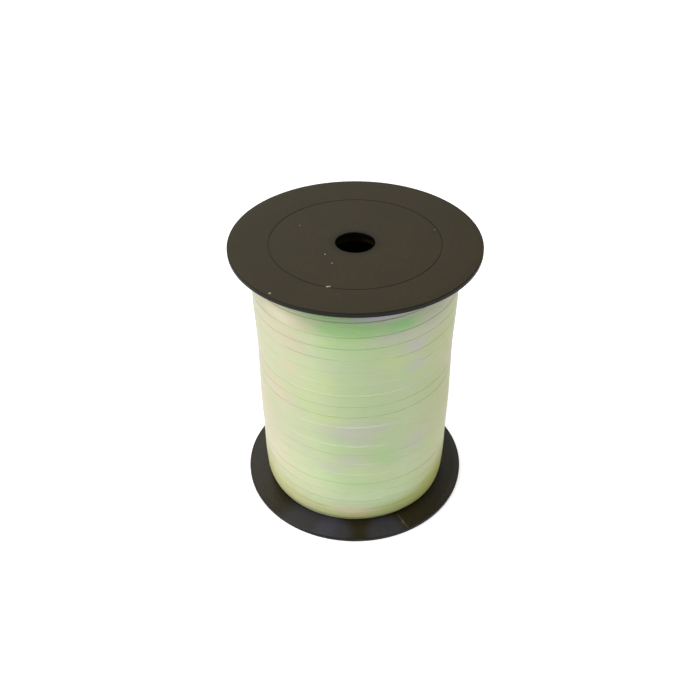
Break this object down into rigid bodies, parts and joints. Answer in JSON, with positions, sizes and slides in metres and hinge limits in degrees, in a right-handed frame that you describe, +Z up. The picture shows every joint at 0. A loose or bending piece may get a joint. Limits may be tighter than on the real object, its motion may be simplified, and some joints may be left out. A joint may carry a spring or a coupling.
{
  "type": "ribbon spool",
  "caption": "Spool of narrow pearlescent curling ribbon wound on a hollow core between two black plastic flanges with a spindle hole.",
  "frame": {"origin": "centre of the bottom flange's rim plane, on the spindle axis", "axes": "+Z up the spindle axis; the ribbon's taped end is towards +Y, and -Y is the plain side"},
  "size_m": [0.096, 0.096, 0.117],
  "materials": {
    "flange_plastic": "matte",
    "core_plastic": "matte",
    "ribbon_film": "satin",
    "clear_tape": "gloss"
  },
  "bodies": {
    "root": {"top_flange": "flange_plastic", "bottom_flange": "flange_plastic", "core_tube": "core_plastic", "ribbon_winding": "ribbon_film", "start_tape": "clear_tape", "end_tape": "clear_tape"}
  },
  "joints": []
}
